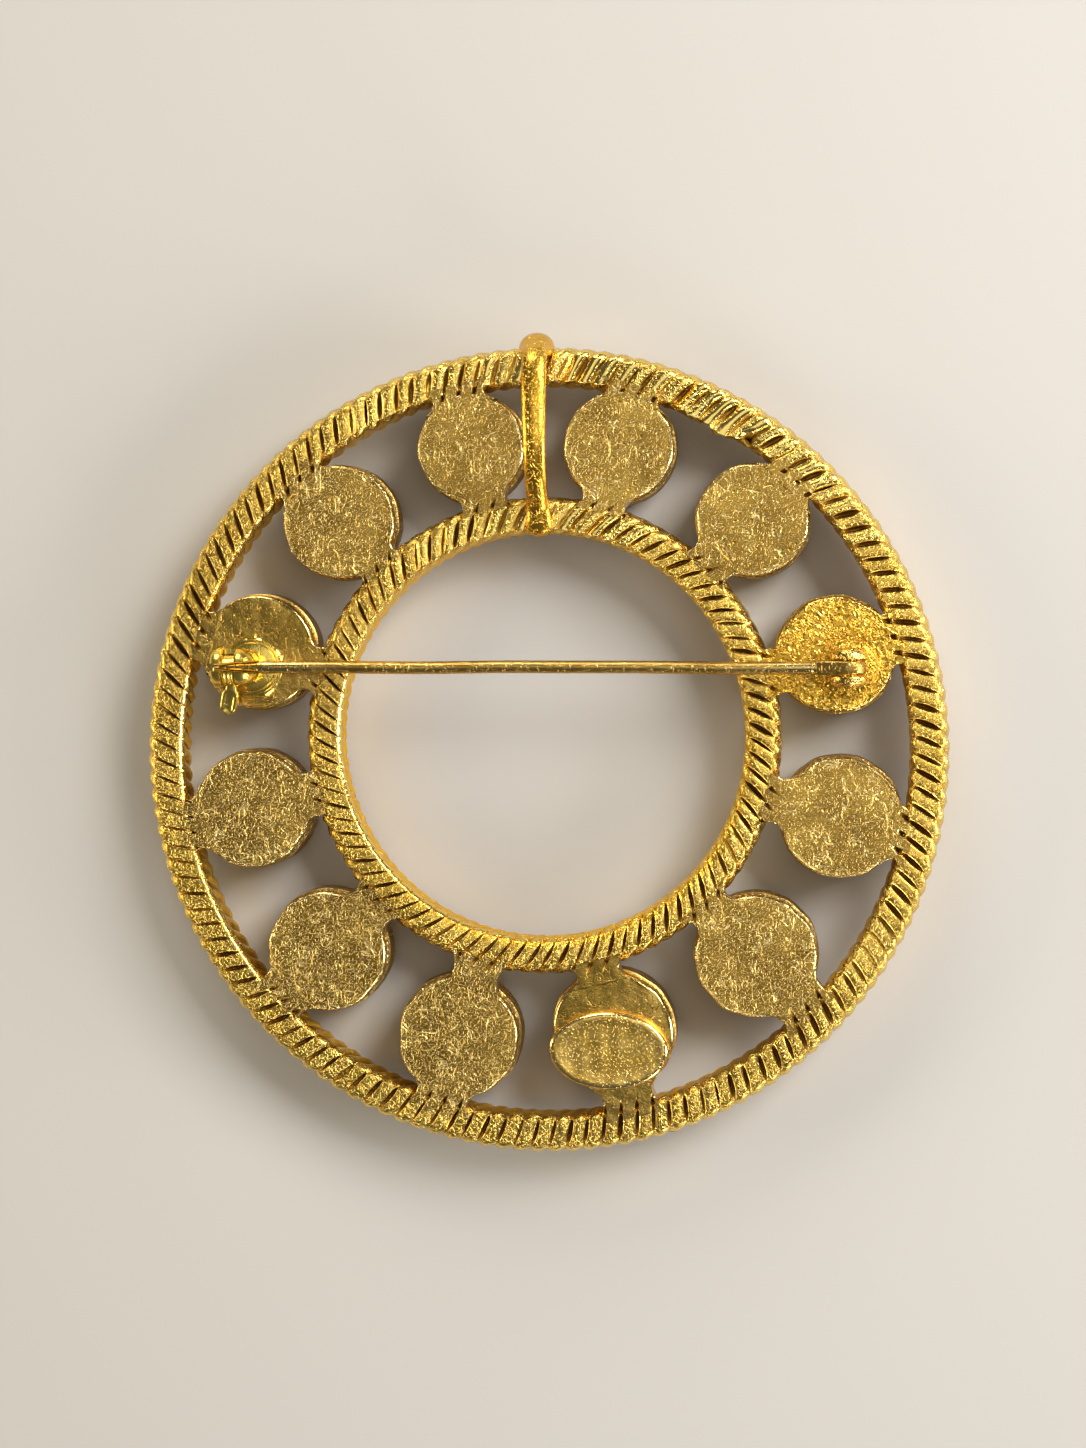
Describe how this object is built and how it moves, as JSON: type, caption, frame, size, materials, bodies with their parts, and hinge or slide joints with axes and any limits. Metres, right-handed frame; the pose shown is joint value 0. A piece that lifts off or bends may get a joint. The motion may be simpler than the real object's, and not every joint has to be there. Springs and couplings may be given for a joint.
{
  "type": "circle pin brooch",
  "caption": "Round openwork brooch: two twisted-rope rings joined by domed cups, with a hinged pin, a roller catch, a bail and a bare oval plate on its back.",
  "frame": {"origin": "centre of the brooch's outline, at the tips of the domed cups on which it lies", "axes": "+Z out of the back with the pin, +Y towards the bail, +X towards the pin's hinge"},
  "size_m": [0.057, 0.058, 0.0082],
  "materials": {
    "cast_gold": "yellow gold, matt scratched backs and worn bright edges",
    "rivet_gold": "yellow gold, filed",
    "pin_gold": "duller yellow gold wire",
    "roller_gold": "polished yellow gold"
  },
  "bodies": {
    "brooch": {"frame": "cast_gold", "hinge_rivet": "rivet_gold"},
    "stem": {"pin_stem": "pin_gold"},
    "roller": {"catch_roller": "roller_gold"}
  },
  "joints": [
    {"name": "stem_hinge", "type": "hinge", "parent": "brooch", "child": "stem", "pos_m": [0.0214, 0.00552, 0.0068], "axis": [0, 1, 0], "range_deg": [0, 105]},
    {"name": "catch_roll", "type": "hinge", "parent": "brooch", "child": "roller", "pos_m": [-0.02177, 0.00552, 0.0068], "axis": [-1, 0, 0], "range_deg": [0, 110]}
  ]
}
